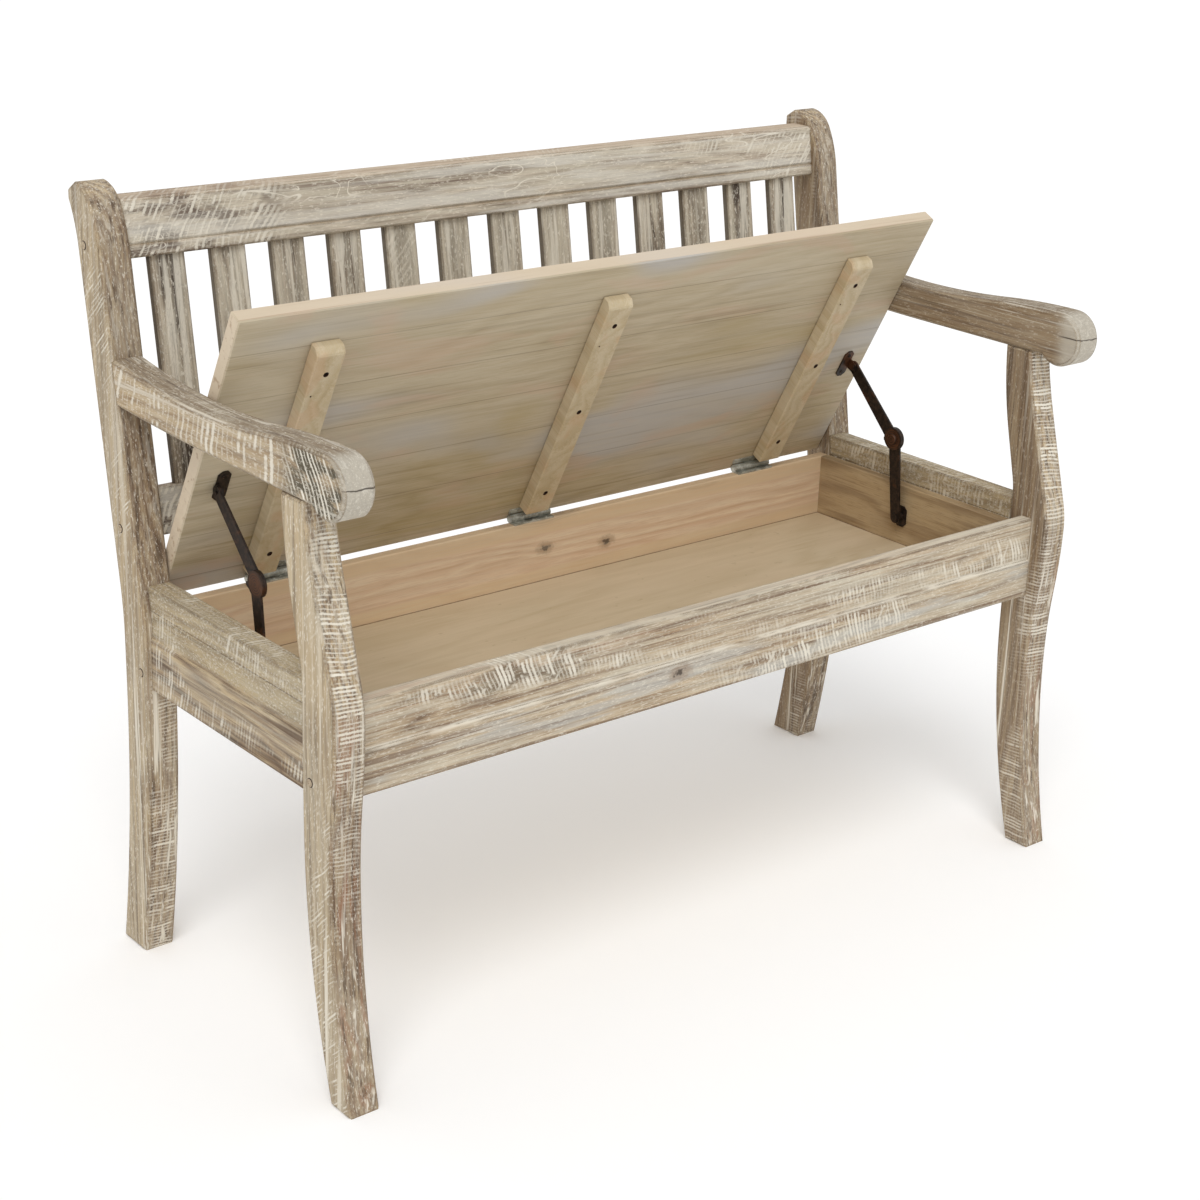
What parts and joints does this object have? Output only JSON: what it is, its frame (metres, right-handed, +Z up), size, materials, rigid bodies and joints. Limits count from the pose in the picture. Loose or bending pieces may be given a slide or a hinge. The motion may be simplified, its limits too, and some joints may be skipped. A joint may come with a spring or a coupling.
{
  "type": "storage settle bench",
  "caption": "Whitewashed wooden settle bench with slatted back, scrolled arms, sabre legs and a lift-up lid over a storage box, lid held open by folding stays.",
  "frame": {"origin": "on the ground, half way between the outer faces of the posts and half way between the toes of the front posts and the rear of the rear posts' tops", "axes": "+X along the bench to the sitter's left, -Y to the front of the seat, +Z up"},
  "size_m": [1.16, 0.566, 0.9397],
  "materials": {
    "whitewashed_wood": "rough-sawn hardwood, brushed, stained brown and rubbed with a milky whitewash, matt",
    "planed_wood": "planed boards under a thin clear whitewash, matt",
    "lid_wood": "planed edge-glued boards under a thin grey wash, matt",
    "plywood": "sanded plain board, thin wash, matt",
    "zinc_steel": "dull zinc plate",
    "antique_iron": "blackened, rust-brown at the knuckle"
  },
  "bodies": {
    "frame": {"arm_left": "whitewashed_wood", "arm_right": "whitewashed_wood", "back_board": "planed_wood", "back_slat_01": "whitewashed_wood", "back_slat_02": "whitewashed_wood", "back_slat_03": "whitewashed_wood", "back_slat_04": "whitewashed_wood", "back_slat_05": "whitewashed_wood", "back_slat_06": "whitewashed_wood", "back_slat_07": "whitewashed_wood", "back_slat_08": "whitewashed_wood", "back_slat_09": "whitewashed_wood", "back_slat_10": "whitewashed_wood", "back_slat_11": "whitewashed_wood", "back_slat_12": "whitewashed_wood", "back_slat_13": "whitewashed_wood", "box_floor": "plywood", "box_side_left": "planed_wood", "box_side_right": "planed_wood", "crest_rail": "whitewashed_wood", "front_post_left": "whitewashed_wood", "front_post_right": "whitewashed_wood", "front_rail": "whitewashed_wood", "hinge_box_leaf_left": "zinc_steel", "hinge_box_leaf_middle": "zinc_steel", "hinge_box_leaf_right": "zinc_steel", "lower_back_rail": "whitewashed_wood", "rear_post_left": "whitewashed_wood", "rear_post_right": "whitewashed_wood", "side_apron_left": "whitewashed_wood", "side_apron_right": "whitewashed_wood", "stay_foot_plate_left": "antique_iron", "stay_foot_plate_right": "antique_iron"},
    "lid": {"hinge_lid_leaf_left": "zinc_steel", "hinge_lid_leaf_middle": "zinc_steel", "hinge_lid_leaf_right": "zinc_steel", "lid_batten_left": "lid_wood", "lid_batten_middle": "lid_wood", "lid_batten_right": "lid_wood", "lid_panel": "lid_wood", "stay_lid_plate_left": "antique_iron", "stay_lid_plate_right": "antique_iron"},
    "stay_left_lower": {"stay_lower_arm_left": "antique_iron"},
    "stay_left_upper": {"stay_upper_arm_left": "antique_iron"},
    "stay_right_lower": {"stay_lower_arm_right": "antique_iron"},
    "stay_right_upper": {"stay_upper_arm_right": "antique_iron"}
  },
  "joints": [
    {"name": "lid_hinge", "type": "hinge", "parent": "frame", "child": "lid", "pos_m": [0, 0.1645, 0.4645], "axis": [1, 0, 0], "range_deg": [0, 63]},
    {"name": "stay_left_foot", "type": "hinge", "parent": "frame", "child": "stay_left_lower", "pos_m": [-0.513, -0.013, 0.414], "axis": [1, 0, 0], "range_deg": [0, 79.2]},
    {"name": "stay_left_lid_pivot", "type": "hinge", "parent": "lid", "child": "stay_left_upper", "pos_m": [-0.513, 0.08539, 0.6105], "axis": [1, 0, 0], "range_deg": [-101.59, 0]},
    {"name": "stay_right_foot", "type": "hinge", "parent": "frame", "child": "stay_right_lower", "pos_m": [0.513, -0.013, 0.414], "axis": [1, 0, 0], "range_deg": [0, 79.2]},
    {"name": "stay_right_lid_pivot", "type": "hinge", "parent": "lid", "child": "stay_right_upper", "pos_m": [0.513, 0.08539, 0.6105], "axis": [1, 0, 0], "range_deg": [-101.59, 0]}
  ],
  "couplings": [
    {"joint": "stay_left_foot", "follows": "lid_hinge", "ratio": 1.2571},
    {"joint": "stay_left_lid_pivot", "follows": "lid_hinge", "ratio": -1.6125},
    {"joint": "stay_right_foot", "follows": "lid_hinge", "ratio": 1.2571},
    {"joint": "stay_right_lid_pivot", "follows": "lid_hinge", "ratio": -1.6125}
  ]
}
